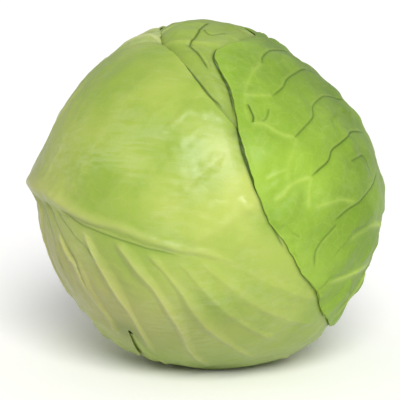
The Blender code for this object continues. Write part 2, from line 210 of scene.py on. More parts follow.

# Leaves, outermost first. Each margin runs from the base's far corner round to its near one, and
# each midrib is given by the places of its middle and its tip. Heights, widths, puffs and panels
# are in millimetres. Lips are (place, rise, spread in degrees), washes (place, spread, yellowing,
# paleness, deep green that in places paints shade) and pleats (place, spread, rise, wavelength).
LEAF_DEFAULTS = dict(
    base_half=38, inner=16, midrib_height=4.5, midrib_widths=(3.6, 3.6), midrib_line=None,
    puff=0.3, panel=14, net=0.14, dents=0.16, lines=(), blisters=(), lips=(), washes=(),
    pleats=None,
)
LEAVES = (
    dict(
        name="back_leaf", middle=(112, 150), base_round=137,
        midrib=((116, 162), (141, 306)),
        margin=(
            (24, 186), (45, 196), (75, 204), (100, 216), (118, 232), (130, 252), (137, 274),
            (141, 297), (142, 314), (138, 340), (132, 358), (128, 6), (124, 17), (120, 26),
            (116, 37), (110, 51), (106, 57), (102, 63), (101, 68), (103.5, 73), (106, 84),
            (105, 98), (92, 107), (70, 109), (44, 104), (25, 98),
        ),
        rows=320, columns=(156, 108), inner=24, ribs=9, rib_height=0.55, rib_width=1.3,
        midrib_widths=(3.4, 3.4), puff=1.1, panel=17, net=-0.30,
        lines=BACK_LINES, lips=(((119, 27), 1.5, 7), ((114, 42), 0.7, 6), ((104, 88), -0.5, 12)),
        # The yellow washes lighten this leaf near its front margin; the deep green ones paint shade
        # towards the crown and the top, which face away from the light
        washes=(
            ((120, 20), 12, 0.5, 0, 0), ((135, 330), 16, 0.3, 0.1, 0), ((140, 30), 18, 0.5, 0, 0),
            ((168, 50), 26, 0, 0, 0.40), ((112, 105), 24, 0, 0, 0.45), ((140, 110), 24, 0, 0, 0.3),
        ),
        dents=0.26, base_pale=0.30, seed=3,
    ),
    dict(
        name="front_leaf", middle=(80, 358), base_round=12,
        midrib=((84, 359), (158, 318)), midrib_line=FRONT_MIDRIB,
        margin=(
            (24, 60), (40, 71), (54, 75), (65, 72), (76, 71), (85, 65), (94, 56), (104, 46),
            (116, 36), (130, 24), (144, 10), (155, 345), (158, 315), (150, 292), (134, 278),
            (116, 280), (102, 285), (92, 292), (86, 301), (82, 310), (79, 319), (78, 310),
            (76, 298), (68, 286), (48, 282), (30, 290), (19, 312),
        ),
        rows=320, columns=(144, 120), inner=24, ribs=10, rib_height=0, rib_width=2.0,
        midrib_height=4.6, midrib_widths=(5.0, 9.0), puff=0.25, panel=20, net=0.0, dents=0.15,
        lines=FRONT_LINES, blisters=FRONT_BLISTERS,
        lips=(
            ((98, 289), 0.8, 9), ((122, 281), 0.8, 10), ((84, 304), 1.3, 6), ((142, 286), 0.8, 9),
        ),
        # The first three washes yellow the leaf's middle, partly its own tone and partly a painted
        # highlight; the last one paints the shadow under back_leaf's lifted lip
        washes=(
            ((121, 14), 8, 0.9, 0, 0), ((112, 27), 7, 0.6, 0, 0), ((108, 6), 12, 0.35, 0, 0),
            ((45, 335), 24, 0, 0.70, 0), ((72, 330), 20, 0, 0.70, 0), ((95, 322), 17, 0, 0.50, 0),
            ((118, 318), 15, 0, 0.25, 0), ((34, 20), 14, 0, 0.30, 0), ((100, 292), 17, 0, 0, 0.42),
            ((125, 288), 17, 0, 0, 0.35), ((78, 318), 6, 0, 0, 0.6), ((103, 325), 11, 0, 0, 0.20),
            ((116, 34.5), 2.0, 0, 0.2, 0.5),
        ),
        pleats=((60, 300), 17, 0.55, 9), base_pale=0.40, seed=5,
    ),
    dict(
        name="under_leaf", middle=(88, 238), base_round=222,
        midrib=((84, 234), (160, 240)),
        margin=(
            (25, 270), (45, 296), (66, 312), (90, 318), (112, 314), (134, 304), (150, 285),
            (160, 245), (152, 205), (132, 184), (108, 172), (80, 164), (50, 164), (26, 174),
        ),
        rows=240, columns=(96, 96), ribs=8, rib_height=1.3, rib_width=2.2,
        puff=0.4, panel=17, net=0.16, base_pale=0.50, seed=11,
    ),
    dict(
        name="shoulder_leaf", middle=(46, 88), base_round=88, base_half=34,
        midrib=((44, 90), (73, 100)),
        margin=(
            (24, 132), (45, 138), (62, 128), (71, 112), (72, 97), (76, 82), (83, 66), (85, 54),
            (78, 44), (64, 40), (44, 40), (24, 48),
        ),
        rows=200, columns=(80, 80), ribs=6, rib_height=1.0, rib_width=1.8,
        base_pale=0.75, seed=17,
    ),
    dict(
        name="low_leaf", middle=(52, 304), base_round=300, base_half=40,
        midrib=((50, 304), (94, 308)),
        margin=(
            (24, 346), (46, 352), (70, 346), (88, 330), (94, 306), (88, 282), (70, 266), (46, 260),
            (24, 262),
        ),
        rows=170, columns=(64, 64), ribs=5, rib_height=1.2, rib_width=1.8,
        base_pale=0.70, seed=23,
    ),
    dict(
        name="top_leaf", middle=(84, 78), base_round=40, base_half=34,
        midrib=((76, 66), (140, 92)),
        margin=(
            (26, 88), (50, 118), (80, 136), (112, 136), (134, 120), (143, 92), (138, 62),
            (126, 36), (104, 18), (78, 10), (50, 4), (27, 6),
        ),
        rows=240, columns=(100, 100), inner=20, ribs=8, rib_height=0.6, rib_width=1.5,
        midrib_height=4.0, puff=0.7, panel=15, net=-0.22, dents=0.24, lines=TOP_LINES,
        base_pale=0.5, seed=29,
    ),
)

# Heart and stump. The stump's radii are in millimetres, and its seat and end lie on the X axis.
HEART_GAP = 0.6 * MM
HEART_ROWS, HEART_COLUMNS = 150, 240
STUMP_RADIUS, STUMP_ROOT = 15.2, 18.9
STUMP_SEAT, STUMP_END = 74.5 * MM, 86.8 * MM
STUMP_STEPS, SIDE_RINGS, FACE_RINGS = 200, 60, 50
SCARS, SCAR_TURN, SCAR_RISE = 7, 137.5, 0.9
WOODY_RING = 11.2

# Stage: the photograph's viewpoint is a metre off and a little above the head
CAMERA_AZIMUTH, CAMERA_ELEVATION = 20.0, 12.0
CAMERA_DISTANCE = 1.0
LENS, SENSOR = 180.0, 36.0
AIM_SIDEWAYS, AIM_UP = -3.5 * MM, -3.5 * MM
FLOOR_HALF, FLOOR_GREY = 6.0, 0.93
ROOM_BRIGHTNESS = 0.52
SUN_AZIMUTH, SUN_ELEVATION = 28.0, 37.0
SUN_STRENGTH, SUN_SOFTNESS, SUN_COLOUR = 3.3, 30.0, (1.0, 0.99, 0.97)


def places(listed):
    """Unit directions from the head's centre of (down, round) pairs in degrees."""
    down, about = np.radians(np.array(listed, float)).T
    out = np.sin(down)
    return np.stack([-np.cos(down), -out * np.cos(about), out * np.sin(about)], -1)


def unit(vectors):
    """Each row scaled to a length of 1."""
    return vectors / np.linalg.norm(vectors, axis=-1, keepdims=True)


def smoothstep(value, low, high):
    """The cubic 3t^2 - 2t^3 of the value's share of the way from low to high."""
    t = np.clip((value - low) / (high - low), 0, 1)
    return t * t * (3 - 2 * t)


def bell(distance, half_width):
    """exp(-(distance / half width)^2)."""
    return np.exp(-((distance / half_width) ** 2))


def in_parts(function, directions, size=8000):
    """Runs a function over the directions a few thousand at a time, to keep its tables small."""
    count = max(1, len(directions) // size)
    found = [function(part) for part in np.array_split(directions, count)]
    if isinstance(found[0], tuple):
        return tuple(np.concatenate(column) for column in zip(*found))
    return np.concatenate(found)


def ripple(directions, wavelength, seed, waves=22):
    """Seeded smooth noise of about unit size: a sum of plane waves through the ball of the head,
    each cos(k . direction + phase) with a length near `wavelength` in millimetres."""
    draw = np.random.default_rng(seed)
    towards = unit(draw.normal(size=(waves, 3)))
    towards *= (2 * math.pi * ROUND_HEAD / wavelength) * draw.uniform(0.7, 1.3, (waves, 1))
    phase = draw.uniform(0, 2 * math.pi, waves)
    return np.cos(directions @ towards.T + phase).sum(axis=1) * math.sqrt(2 / waves)


def lumps():
    """The part's seeded low swells, which keep the head from being a perfect ball."""
    draw = np.random.default_rng(LUMP_SEED)
    for _ in range(LUMPS):
        towards = draw.normal(size=3)
        yield towards, LUMP_HEIGHT * draw.uniform(-1, 1), LUMP_SPREAD * draw.uniform(0.8, 1.4)


def envelope(directions):
    """The head's outer radius: the ellipsoid's, plus height * exp((d . swell - 1) / spread^2)
    for each swell and lump."""
    radius = 1 / np.sqrt(((directions / HEAD_RADII) ** 2).sum(axis=-1))
    for towards, height, spread in (*SWELLS, *lumps()):
        radius = radius + height * np.exp((directions @ unit(np.array(towards)) - 1) / spread ** 2)
    return np.minimum(radius, CENTRE_HEIGHT / np.maximum(-directions[:, 2], 1e-6))


def smooth_line(points, samples, closed=False):
    """A Catmull-Rom curve through the points, sampled evenly along its length."""
    if closed:
        padded = np.vstack([points[-1:], points, points[:2]])
    else:
        padded = np.vstack([2 * points[:1] - points[1:2], points, 2 * points[-1:] - points[-2:-1]])
    a, b, c, d = padded[:-3], padded[1:-2], padded[2:-1], padded[3:]
    t = np.linspace(0, 1, 40, endpoint=False)[:, None, None]
    square, cube = 2 * a - 5 * b + 4 * c - d, 3 * b - a - 3 * c + d
    curve = 0.5 * (2 * b + (c - a) * t + square * t ** 2 + cube * t ** 3)
    curve = curve.transpose(1, 0, 2).reshape(-1, points.shape[1])
    curve = np.vstack([curve, curve[:1] if closed else points[-1:]])
    length = np.concatenate([[0], np.cumsum(np.linalg.norm(np.diff(curve, axis=0), axis=1))])
    even = np.linspace(0, length[-1], samples, endpoint=not closed)
    return np.stack([np.interp(even, length, column) for column in curve.T], -1)


def near_line(directions, points, samples=70):
    """How each direction lies to a line of places on the head: its signed distance to the nearest
    piece of the smoothed line in millimetres, positive on its left, and its share along it."""
    line = unit(smooth_line(places(points), samples))
    tangent = np.gradient(line, axis=0)
    step = np.linalg.norm(tangent, axis=1, keepdims=True)
    tangent /= step
    leftward = np.cross(line, tangent)

    def near(part):
        index = (part @ line.T).argmax(axis=1)
        offset, length = part - line[index], step[index, 0]
        along = np.clip((offset * tangent[index]).sum(axis=1), -length / 2, length / 2)
        gap = np.linalg.norm(offset - along[:, None] * tangent[index], axis=1)
        side = np.where((offset * leftward[index]).sum(axis=1) >= 0, 1, -1)
        return gap * side * ROUND_HEAD, (index + along / length) / (samples - 1)

    return in_parts(near, directions)


def panel_edges(directions, centres):
    """Distance in millimetres to the nearest border between the panels grown round these centres:
    the difference of the two largest d . centre over the distance between those centres."""

    def edges(part):
        dots = part @ centres.T
        order = np.argpartition(-dots, 1, axis=1)[:, :2]
        pair = np.take_along_axis(dots, order, axis=1)
        apart = np.linalg.norm(centres[order[:, 0]] - centres[order[:, 1]], axis=1)
        return np.abs(pair[:, 0] - pair[:, 1]) / np.maximum(apart, 1e-6) * ROUND_HEAD

    return in_parts(edges, directions)


def in_polygon(points, ring):
    """Even-odd test of points against a closed ring in the plane."""
    within = np.zeros(len(points), bool)
    for (x0, y0), (x1, y1) in zip(ring, np.roll(ring, -1, axis=0)):
        if y0 != y1:
            crosses = (y0 > points[:, 1]) != (y1 > points[:, 1])
            within ^= crosses & (points[:, 0] < (x1 - x0) * (points[:, 1] - y0) / (y1 - y0) + x0)
    return within


class Leaf:
    """One wrapper leaf, with the values of its entry in LEAVES. Its plane is an azimuthal
    equidistant map about the leaf's middle."""

    def __init__(self, **entry):
        for key, value in {**LEAF_DEFAULTS, **entry}.items():
            setattr(self, key, value)
        down, about = self.middle
        self.centre, self.tipward = places([(down, about), (down + 90, about)])
        self.sideways = np.cross(self.tipward, self.centre)
        base = (LEAF_BASE_DOWN, self.base_round)
        near, far = ((base[0], base[1] + side * self.base_half) for side in (-1, 1))
        ring = self.to_plane(places([far, *self.margin, near, base]))
        self.outline = self.frayed(smooth_line(ring, MARGIN_SAMPLES, closed=True))
        self.edge = self.from_plane(self.outline)
        self.corner_share = [self.nearest_share(c) for c in self.to_plane(places([near, far]))]
        self.spine = self.to_plane(places([base, *self.midrib]))
        self.tip_share = self.nearest_share(self.spine[-1])
        self.spine[-1] = self.outline[round(self.tip_share * MARGIN_SAMPLES)]
        share = np.linspace(0, 1, 24) ** ROW_POWER
        self.midrib_line = self.midrib_line or self.as_places(self.along_midrib(share))

    def frayed(self, outline):
        """The margin moved in and out along its normal by a sum of sines, under a millimetre."""
        draw = np.random.default_rng(self.seed)
        tangent = unit(np.roll(outline, -1, axis=0) - np.roll(outline, 1, axis=0))
        share = np.arange(len(outline)) / len(outline) * 2 * math.pi
        waves = 0
        for turns in MARGIN_WAVES:
            size, phase = draw.uniform(0.4, 1.0), draw.uniform(0, 2 * math.pi)
            waves = waves + size * np.sin(turns * share + phase) / turns ** 0.6
        return outline + tangent[:, ::-1] * (1, -1) * (waves * 1.5 / ROUND_HEAD)[:, None]

    def nearest_share(self, point):
        """How far round the margin, from 0 to 1, its point nearest this one is."""
        return int(np.argmin(np.linalg.norm(self.outline - point, axis=1))) / MARGIN_SAMPLES

    def to_plane(self, directions):
        """x runs to the leaf's tip and y round the head, both in radians from the middle."""
        reach = np.arccos(np.clip(directions @ self.centre, -1, 1))
        bearing = np.arctan2(directions @ self.sideways, directions @ self.tipward)
        return np.stack([reach * np.cos(bearing), reach * np.sin(bearing)], -1)

    def from_plane(self, points):
        """The direction on the head of each point of the leaf's plane."""
        reach = np.hypot(points[..., 0], points[..., 1])
        bearing = np.arctan2(points[..., 1], points[..., 0])
        across, along = np.sin(bearing)[..., None], np.cos(bearing)[..., None]
        side = along * self.tipward + across * self.sideways
        return np.cos(reach)[..., None] * self.centre + np.sin(reach)[..., None] * side

    def as_places(self, points):
        """(down, round) pairs of points of the plane."""
        x, y, z = self.from_plane(points).T
        return np.degrees(np.stack([np.arccos(-x), np.arctan2(z, -y)], -1))

    def inside(self, directions):
        """Degrees from each direction to the margin, positive where the leaf covers it."""

        def distance(part):
            near = (part @ self.edge.T).max(axis=-1)
            away = np.degrees(np.arccos(np.clip(near, -1, 1)))
            return np.where(in_polygon(self.to_plane(part), self.outline), away, -away)

        return in_parts(distance, directions)

    def along_midrib(self, share):
        """The quadratic curve from the leaf's base through its midrib's middle to its tip."""
        start, half_way, end = self.spine
        pull = 2 * half_way - (start + end) / 2
        share = np.asarray(share)[..., None]
        return (1 - share) ** 2 * start + 2 * share * (1 - share) * pull + share ** 2 * end

    def on_margin(self, share, side):
        """The margin's point that the side vein leaving the midrib at `share` runs to."""
        corner = self.corner_share[(side + 1) // 2]
        span = (self.tip_share - corner) % 1.0 if side > 0 else -((corner - self.tip_share) % 1.0)
        way = (corner + span * share ** MARGIN_POWER) % 1.0 * MARGIN_SAMPLES
        ring = np.vstack([self.outline, self.outline[:1]])
        index = np.arange(MARGIN_SAMPLES + 1)
        return np.stack([np.interp(way, index, column) for column in ring.T], -1)

    def bent(self, row, across):
        """A point of the plane: row 0 to 1 from base to tip, across -1 to 1 between the margins.
        Each row is a quadratic curve from midrib to margin that bows towards the tip."""
        share = row ** ROW_POWER
        start = self.along_midrib(share)
        far = np.where(across[:, None] >= 0, self.on_margin(share, 1), self.on_margin(share, -1))
        step = 1e-3
        tangent = unit(self.along_midrib(share + step) - self.along_midrib(share - step))
        length = np.linalg.norm(far - start, axis=-1, keepdims=True)
        pull = (start + far) / 2 + VEIN_BOW * smoothstep(row, 0, 0.12)[:, None] * length * tangent
        t = np.abs(across)[:, None]
        return (1 - t) ** 2 * start + 2 * t * (1 - t) * pull + t ** 2 * far

    def panel_centres(self):
        """Seeded centres of the panels between the ribs, spaced along each rib by `panel`."""
        draw = np.random.default_rng(self.seed + 100)
        found = []
        for band in np.arange(0.5, self.ribs + 1):
            for side in (-1, 1):
                row = np.full(2, band / (self.ribs + 1))
                ends = self.from_plane(self.bent(row, np.array([side * 0.001, side])))
                length = math.acos(np.clip(ends[0] @ ends[1], -1, 1)) * ROUND_HEAD
                count = max(1, round(length / self.panel))
                across = side * (np.arange(count) + draw.uniform(0.3, 0.7, count)) / count
                rows = np.clip((band + draw.uniform(-0.28, 0.28, count)) / (self.ribs + 1), 0, 0.99)
                found.append(self.from_plane(self.bent(rows, across)))
        return np.vstack(found)


def sunk(outer_leaves, directions):
    """How many layers the leaves outside press a place down, how far it is covered at all, and
    how near it lies to an outer leaf's margin, for the painted shade along that margin."""
    depth, covered, seam_shade = np.zeros((3, len(directions)))
    for outer in outer_leaves:
        inside = outer.inside(directions)
        under = smoothstep(inside, SINK_FROM, SINK_TO)
        depth += under
        covered = np.maximum(covered, under)
        seam_shade = np.maximum(seam_shade, bell(inside + 0.2, 0.75))
    return depth, covered, seam_shade


class Lines:
    """The line that counts most at each point: its signed gap in millimetres, and its tint, which
    is positive for a pale rib, negative for painted shade along creases and margins, and fades out
    from TINT_FULL to TINT_GONE. Materials draw thin lines from it."""

    def __init__(self, count):
        self.gap, self.tint, self.weight = np.full(count, 9.0), np.zeros(count), np.zeros(count)

    def add(self, gap, tint, weight=1.0):
        weight = weight * np.abs(tint) * bell(gap, 2.2)
        tint = tint * (1 - smoothstep(np.abs(gap), TINT_FULL, TINT_GONE))
        chosen = weight > self.weight
        self.gap = np.where(chosen, gap, self.gap)
        self.tint = np.where(chosen, tint, self.tint)
        self.weight = np.maximum(self.weight, weight)


def tapered(share):
    """1 along a line, falling to 0 at its two ends."""
    return smoothstep(share, 0.0, 0.10) * (1 - smoothstep(share, 0.82, 1.0))


def midrib_relief(leaf, directions):
    """The midrib's height and its paleness: a broad bell that dies away over the first half, wider
    on the upper side where the leaf has one, under a slender cord that runs on towards the tip."""
    gap, share = near_line(directions, leaf.midrib_line, 160)
    below, above = leaf.midrib_widths
    width = np.where(gap > 0, above, below) * (1.3 - 0.75 * smoothstep(share, 0.0, 0.5))
    height = leaf.midrib_height * (1 - smoothstep(share, 0.02, 0.55)) ** 1.2 * bell(gap, width)
    cord_width = 4.4 - 2.6 * smoothstep(share, 0.0, 0.6)
    cord = 1.3 * (1 - smoothstep(share, 0.30, 0.97))
    height += cord * bell(gap, cord_width)
    pale = (0.85 - 0.4 * smoothstep(share, 0.04, 0.22)) * (1 - smoothstep(share, 0.35, 0.95))
    pale *= bell(gap, 1.2 * cord_width)
    return height, pale, gap, share


def line_relief(leaf, directions, lines):
    """The listed ribs and creases. A rib is a bell with a narrower one on its crest and a
    shallow groove along each side, and a crease is a bell with a raised lip along one side."""
    height, pale = np.zeros(len(directions)), np.zeros(len(directions))
    nearest = np.full(len(directions), 99.0)
    for rise, half_width, tint, points in leaf.lines:
        gap, share = near_line(directions, points)
        strength = tapered(share)
        if rise > 0:
            width = half_width * (1.15 - 0.3 * share)
            height += rise * strength * (0.82 * bell(gap, width) + 0.18 * bell(gap, 0.35 * width))
            height -= 0.22 * rise * strength * bell(np.abs(gap) - 2.0 * width, width)
            pale = np.maximum(pale, tint * strength * bell(gap, width))
        else:
            height += rise * strength * bell(gap, half_width)
            height -= 0.5 * rise * strength * bell(gap - 1.8 * half_width, 1.3 * half_width)
        lines.add(gap, tint * strength, 3.0)
        nearest = np.minimum(nearest, np.abs(gap))
    return height, pale, nearest


def blister_relief(leaf, directions):
    """Oval swellings: a squared bell of the distance scaled along and across each oval's turn."""
    height = np.zeros(len(directions))
    for place, rise, long_half, short_half, turn in leaf.blisters:
        down, about = place
        centre, tipward = places([(down, about), (down + 90, about)])
        sideways = np.cross(tipward, centre)
        x, y = directions @ tipward * ROUND_HEAD, directions @ sideways * ROUND_HEAD
        c, s = math.cos(math.radians(turn)), math.sin(math.radians(turn))
        along, across = (c * x + s * y) / long_half, (c * y - s * x) / short_half
        oval = np.exp(-((along ** 2 + across ** 2) ** 1.5))
        height += rise * oval * (directions @ centre > 0)
    return height


def away_from(directions, place):
    """Degrees from each direction to a place on the head."""
    return np.degrees(np.arccos(np.clip(directions @ places([place])[0], -1, 1)))


def colour_washes(leaf, directions):
    """Soft round patches of yellowing, paleness and deep green, each at a place with a spread. Some
    deep green patches are painted shade, and some yellowing is partly a painted highlight.
    """
    amounts = np.zeros((len(directions), 3))
    for place, spread, *amount in leaf.washes:
        amounts += bell(away_from(directions, place), spread)[:, None] * amount
    return amounts


def leaf_relief(leaf, directions, row, across, spacing):
    """All that stands out of a leaf's outer face, in millimetres, and its attributes."""
    lines = Lines(len(directions))
    midrib, pale, midrib_gap, midrib_share = midrib_relief(leaf, directions)
    height, line_pale, to_lines = line_relief(leaf, directions, lines)
    drawn = 1 - smoothstep(to_lines, DRAWN_NEAR, DRAWN_FAR)
    out = np.abs(across)
    warp = 1.2 * ripple(directions, 38, leaf.seed + 1)
    order = row * (leaf.ribs + 1) + 0.10 * ripple(directions, 60, leaf.seed + 2)
    nearest = np.clip(np.round(order), 1, leaf.ribs)
    gap = (order - nearest) * spacing / (leaf.ribs + 1) + 0.25 * warp
    rib = smoothstep(np.abs(midrib_gap), 0.5, 4.0) * (1 - 0.75 * smoothstep(out, 0.35, 0.95))
    rib *= (1 - drawn) * (leaf.rib_height > 0)
    width = leaf.rib_width * (1.3 - 0.6 * out)
    height += leaf.rib_height * rib * bell(gap, width)
    height -= 0.35 * leaf.rib_height * rib * bell(np.abs(gap) - 2.1 * width, width)
    lines.add(gap, 0.55 * rib)
    pale = np.maximum.reduce([pale, line_pale, 0.75 * rib * bell(gap, 1.3 * width)])
    shift = np.stack([ripple(directions, 24, leaf.seed + k) for k in (31, 32, 33)], -1)
    edge = panel_edges(unit(directions + 0.020 * shift), leaf.panel_centres())
    inner_part = smoothstep(row, 0.04, 0.25) * (1 - smoothstep(out, 0.93, 1.0))
    height += leaf.net * (1 - drawn) * inner_part * bell(edge, NET_HALF)
    border = np.minimum(edge + 60 * drawn, np.minimum(to_lines, np.abs(gap) + 60 * (rib < 0.05)))
    height += leaf.puff * inner_part * (1 - bell(border, PUFF_HALF))
    height += blister_relief(leaf, directions)
    height += inner_part * leaf.dents * ripple(directions, DENT_WAVE, leaf.seed + 41)
    height += inner_part * PIT_RISE * ripple(directions, PIT_WAVE, leaf.seed + 42)
    height += SWELL_RISE * ripple(directions, SWELL_WAVE, leaf.seed + 43)
    if leaf.pleats:
        place, spread, rise, wavelength = leaf.pleats
        near = bell(away_from(directions, place), spread)
        height += rise * near * ripple(directions, wavelength, leaf.seed + 44)
    height *= 1 - 0.8 * smoothstep(out, 0.97, 1.0)
    collar = 0.35 * leaf.midrib_height * (1 - smoothstep(row, 0.0, 0.10)) * (1 - out ** 2)
    height = np.maximum(height + midrib, collar)
    washes = colour_washes(leaf, directions)
    washes[:, 1] += (1 - smoothstep(row, 0.0, 0.62)) * leaf.base_pale
    return height, dict(
        vein=np.clip(pale, 0, 1),
        washes=np.clip(washes, 0, 1),
        line_gap=np.clip(lines.gap, -4, 4),
        line_tint=lines.tint,
        grain=np.stack([midrib_share * 130, midrib_gap, np.zeros_like(midrib_gap)], -1),
    )


def curl(leaf, directions, to_margin):
    """How far the margin lifts off the head: lips at places, which press it down where their rise
    is below 0, and a slight ruffle all along it. Both die away inwards in a few degrees."""
    height = np.zeros(len(directions))
    for place, rise, spread in leaf.lips:
        near = bell(away_from(directions, place), spread)
        height += rise * near * np.exp(-to_margin / LIP_REACH)
    ruffle = np.maximum(ripple(directions, RUFFLE_WAVE, leaf.seed + 51) + 0.2, 0)
    return height + RUFFLE_RISE * ruffle * np.exp(-to_margin / RUFFLE_REACH)


def grid_faces(rows, columns):
    """Quads between the rows of a grid whose columns close on themselves."""
    row, column = np.meshgrid(np.arange(rows - 1), np.arange(columns), indexing="ij")
    following = (column + 1) % columns
    corners = (row * columns + column, row * columns + following)
    upper = ((row + 1) * columns + following, (row + 1) * columns + column)
    return np.stack([*corners, *upper], -1).reshape(-1, 4)


def make_leaf(leaf, outer_leaves):
    """A leaf as one closed sheet. Each row is a loop: out along the outer face from one margin to
    the other, round the margin's rim, and back along the inner face, which has fewer columns. The
    rows run from the base to the tip, where they meet in one point."""
    low, high = leaf.columns
    across = np.concatenate([np.linspace(-1, 0, low + 1), np.linspace(0, 1, high + 1)[1:]])
    rows = np.linspace(0, 1, leaf.rows + 1)[:-1]
    shape = (len(rows), len(across))
    row, side = (a.ravel() for a in np.meshgrid(rows, across, indexing="ij"))
    directions = leaf.from_plane(leaf.bent(row, side))
    radius = envelope(directions)
    on_head = (directions * radius[:, None]).reshape(*shape, 3)
    by_row, by_side = np.gradient(on_head, rows, axis=0), np.gradient(on_head, across, axis=1)
    spacing = np.linalg.norm(np.cross(by_row, by_side), axis=-1)
    spacing = (spacing / np.linalg.norm(by_side, axis=-1)).ravel() / MM
    depth, covered, seam_shade = sunk(outer_leaves, directions)
    height, attributes = leaf_relief(leaf, directions, row, side, spacing)
    # Painted shade: the leaf turns deep green beside each outer leaf's margin
    attributes["washes"][:, 2] = np.maximum(attributes["washes"][:, 2], 0.4 * seam_shade)
    to_margin = np.maximum(leaf.inside(directions), 0)
    lifted = curl(leaf, directions, to_margin) * (1 - covered)
    smooth = radius - depth * LAYER + lifted * MM
    blade = MARGIN_BLADE + (BLADE - MARGIN_BLADE) * smoothstep(to_margin, 0.0, 2.5)
    least = -(blade - 0.25 * MM)
    outer = smooth + np.maximum(height * MM * (1 - covered), least)
    outer_face = (directions * outer[:, None]).reshape(*shape, 3)
    inner_face = (directions * (smooth - blade)[:, None]).reshape(*shape, 3)
    middle = (directions * ((outer + smooth - blade) / 2)[:, None]).reshape(*shape, 3)
    step = (shape[1] - 1) // leaf.inner
    kept = np.arange(0, shape[1], step)
    rims = []
    for last, before in ((-1, -2), (0, 1)):
        rims.append(middle[:, last] + unit(on_head[:, last] - on_head[:, before]) * RIM)
    loop = np.concatenate(
        [outer_face, rims[0][:, None], inner_face[:, kept[::-1]], rims[1][:, None]], axis=1
    )
    tip = leaf.from_plane(leaf.bent(np.ones(1), np.zeros(1)))
    tip_depth, *_ = sunk(outer_leaves, tip)
    tip = tip * (envelope(tip) - tip_depth * LAYER - MARGIN_BLADE / 2)[:, None]
    points = np.vstack([loop.reshape(-1, 3), tip])
    points[:, 2] = np.maximum(points[:, 2] + CENTRE_HEIGHT, 0)
    columns = loop.shape[1]
    source = np.concatenate([np.arange(shape[1]), [shape[1] - 1], kept[::-1], [0]])
    spread = {}
    for name, values in attributes.items():
        table = values.reshape(*shape, -1)[:, source]
        table = table.reshape(-1, table.shape[-1])
        spread[name] = np.vstack([table, table[-1:] * (name != "vein")])
    faces = grid_faces(len(rows), columns).tolist()
    start = (len(rows) - 1) * columns
    faces += [[start + k, start + (k + 1) % columns, len(points) - 1] for k in range(columns)]
    faces += base_cap(shape[1], kept, columns)
    return make_piece(leaf.name, points, faces, spread)


def base_cap(outer_count, kept, columns):
    """Closes the first row with a strip of small faces from the outer to the inner face."""
    inner_index = {column: outer_count + 1 + len(kept) - 1 - k for k, column in enumerate(kept)}
    faces = []
    for start, end in zip(kept, kept[1:]):
        face = [inner_index[start], inner_index[end]]
        if end == kept[-1]:
            face.append(outer_count)
        face += list(range(end, start - 1, -1))
        if start == kept[0]:
            face.append(columns - 1)
        faces.append([int(index) for index in face])
    return faces


def make_piece(name, points, faces, attributes=None):
    """A mesh object at the origin that rides on the head and stands for its CAD node."""
    mesh = bpy.data.meshes.new(name)
    mesh.from_pydata(np.asarray(points, float).tolist(), [], faces)
    for key, values in (attributes or {}).items():
        kind, slot = ("FLOAT_VECTOR", "vector") if values.shape[-1] == 3 else ("FLOAT", "value")
        layer = mesh.attributes.new(key, kind, "POINT")
        layer.data.foreach_set(slot, values.astype(np.float32).ravel())
    mesh.update()
    face_outwards(mesh)
    mesh.shade_smooth()
    piece = bpy.data.objects.new(name + "_skin", mesh)
    bpy.context.scene.collection.objects.link(piece)
    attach(piece, "root")
    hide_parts(name)
    return piece


def face_outwards(mesh):
    """Turns a closed mesh right side out: its signed volume comes out above zero."""
    mesh.calc_loop_triangles()
    corners = np.empty(len(mesh.loop_triangles) * 3, np.int32)
    mesh.loop_triangles.foreach_get("vertices", corners)
    points = np.empty(len(mesh.vertices) * 3)
    mesh.vertices.foreach_get("co", points)
    a, b, c = points.reshape(-1, 3)[corners.reshape(-1, 3)].transpose(1, 0, 2)
    if (a * np.cross(b, c)).sum() < 0:
        mesh.flip_normals()


def make_heart(leaves):
    """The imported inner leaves: the envelope pressed in by every leaf round it, on a grid of down
    and round angles with a pole at each end, cut flat where the stump sits."""
    down, about = np.meshgrid(
        np.linspace(0, 180, HEART_ROWS + 1)[1:-1],
        np.arange(HEART_COLUMNS) * 360 / HEART_COLUMNS,
        indexing="ij",
    )
    directions = places(np.stack([down.ravel(), about.ravel()], -1))
    directions = np.vstack([directions, places([(0, 0), (180, 0)])])
    depth, covered, _ = sunk(leaves, directions)
    folds = 0.35 * ripple(directions, 18, 61) * (1 - covered)
    radius = envelope(directions) - depth * LAYER - HEART_GAP + folds * MM
    points = directions * radius[:, None]
    points[:, 0] = np.maximum(points[:, 0], -STUMP_SEAT - 0.5 * MM)
    points[:, 2] += CENTRE_HEIGHT
    faces = grid_faces(HEART_ROWS - 1, HEART_COLUMNS).tolist()
    for start, pole in ((0, len(points) - 2), ((HEART_ROWS - 2) * HEART_COLUMNS, len(points) - 1)):
        ring = range(HEART_COLUMNS)
        fan = [[start + k, start + (k + 1) % HEART_COLUMNS, pole] for k in ring]
        faces += [face[::-1] for face in fan] if start == 0 else fan
    down_all = np.concatenate([down.ravel(), [0, 180]])
    base = 1 - smoothstep(down_all, 10, 60)
    attributes = dict(washes=np.stack([0 * base, base, 0 * base], -1))
    return make_piece("heart", points, faces, attributes)


